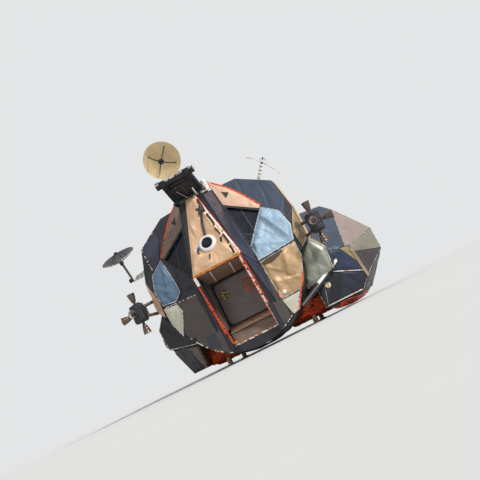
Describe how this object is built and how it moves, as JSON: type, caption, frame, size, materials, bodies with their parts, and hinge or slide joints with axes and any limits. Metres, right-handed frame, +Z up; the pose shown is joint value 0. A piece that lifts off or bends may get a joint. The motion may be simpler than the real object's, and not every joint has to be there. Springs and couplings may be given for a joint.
{
  "type": "lunar module",
  "caption": "Ascent stage of a crewed lunar lander: faceted cabin and tank housings, hinged hatches, steerable radar and dish, jet clusters and an engine bell.",
  "frame": {"origin": "on the thrust axis, in the plane of the four interstage feet", "axes": "+X to port, -Y forward, +Z up along the thrust axis and the docking tunnel"},
  "size_m": [4.624, 4.5563, 3.6725],
  "materials": {
    "cabin_skin": "matt, faceted thermal panels",
    "nose_skin": "crinkled tan film",
    "window_glass": "polished",
    "shade_skin": "crinkled tan film",
    "hatch_skin": "matt dark grey-brown",
    "interior_metal": "plain primer",
    "tunnel_metal": "satin",
    "engine_metal": "dull",
    "bell_skin": "salmon to copper ablative skirt",
    "port_housing_skin": "slate film with taped seams",
    "starboard_housing_skin": "grey-tan film",
    "module_skin": "grey-green film",
    "aft_bay_skin": "grey film",
    "foot_metal": "tan",
    "red_foil": "crinkled red-orange film",
    "cluster_skin": "charcoal",
    "jet_metal": "dull, heat stained",
    "strut_metal": "dull film wrap",
    "radar_dark": "charcoal",
    "radar_cream": "matt cream",
    "dish_metal": "satin",
    "bezel_white": "white",
    "lens_glass": "dark",
    "antenna_metal": "banded white film"
  },
  "bodies": {
    "hull": {"aft_equipment_bay": "aft_bay_skin", "aft_omni_antenna": "bezel_white", "alignment_telescope": "radar_dark", "ascent_engine_bell": "bell_skin", "ascent_engine_block": "engine_metal", "attitude_jet_clusters": "cluster_skin", "attitude_jets": "jet_metal", "cabin_belly": "cabin_skin", "cabin_floor": "interior_metal", "cabin_roof": "cabin_skin", "docking_target": "radar_dark", "docking_tunnel": "tunnel_metal", "docking_window_pane": "window_glass", "forward_omni_antenna": "bezel_white", "hatch_bulkhead": "cabin_skin", "interstage_feet": "foot_metal", "jet_outriggers": "strut_metal", "midsection_aft_bulkhead": "aft_bay_skin", "midsection_deck": "interior_metal", "midsection_floor": "aft_bay_skin", "midsection_fore_bulkhead": "aft_bay_skin", "midsection_roof": "aft_bay_skin", "nose": "nose_skin", "overhead_hatch_lugs": "interior_metal", "port_belly_blanket": "red_foil", "port_cabin_side": "cabin_skin", "port_corner_panel": "cabin_skin", "port_housing_brace": "strut_metal", "port_jet_tank_module": "module_skin", "port_lower_panel": "cabin_skin", "port_midsection_wall": "aft_bay_skin", "port_tank_housing": "port_housing_skin", "port_window_pane": "window_glass", "port_window_panel": "cabin_skin", "port_window_shade": "shade_skin", "radar_pedestal": "radar_dark", "starboard_belly_blanket": "red_foil", "starboard_cabin_side": "cabin_skin", "starboard_corner_panel": "cabin_skin", "starboard_jet_tank_module": "module_skin", "starboard_lower_panel": "cabin_skin", "starboard_midsection_wall": "aft_bay_skin", "starboard_tank_housing": "starboard_housing_skin", "starboard_window_pane": "window_glass", "starboard_window_panel": "cabin_skin", "starboard_window_shade": "shade_skin", "steerable_dish_mast": "strut_metal", "tracking_light_bezel": "bezel_white", "tracking_light_lens": "lens_glass", "voice_antenna_mast": "antenna_metal"},
    "forward_hatch": {"forward_hatch": "hatch_skin"},
    "overhead_hatch": {"overhead_hatch": "interior_metal"},
    "radar_yoke": {"radar_yoke": "radar_dark"},
    "radar_dish": {"radar_dish": "radar_cream"},
    "steerable_dish_arm": {"steerable_dish_arm": "strut_metal"},
    "steerable_dish": {"steerable_dish": "dish_metal"}
  },
  "joints": [
    {"name": "forward_hatch_hinge", "type": "hinge", "parent": "hull", "child": "forward_hatch", "pos_m": [-0.448, -1.356, 0.958], "axis": [0, 0, 1], "range_deg": [0, 90]},
    {"name": "overhead_hatch_hinge", "type": "hinge", "parent": "hull", "child": "overhead_hatch", "pos_m": [0, 0.468, 2.658], "axis": [1, 0, 0], "range_deg": [0, 75]},
    {"name": "radar_shaft", "type": "hinge", "parent": "hull", "child": "radar_yoke", "pos_m": [0, -2.118, 3.13], "axis": [-1, 0, 0], "range_deg": [-45.7, 83.3]},
    {"name": "radar_trunnion", "type": "hinge", "parent": "radar_yoke", "child": "radar_dish", "pos_m": [0, -2.26944, 3.4654], "axis": [0, -0.4115, 0.9114], "range_deg": [-55, 55]},
    {"name": "steerable_dish_shaft", "type": "hinge", "parent": "hull", "child": "steerable_dish_arm", "pos_m": [-1.83, -0.78, 2.2], "axis": [-1, 0, 0], "range_deg": [-138, 192]},
    {"name": "steerable_dish_pivot", "type": "hinge", "parent": "steerable_dish_arm", "child": "steerable_dish", "pos_m": [-1.83, -0.94888, 2.53146], "axis": [0, 0.891, 0.454], "range_deg": [-87, 87]}
  ]
}
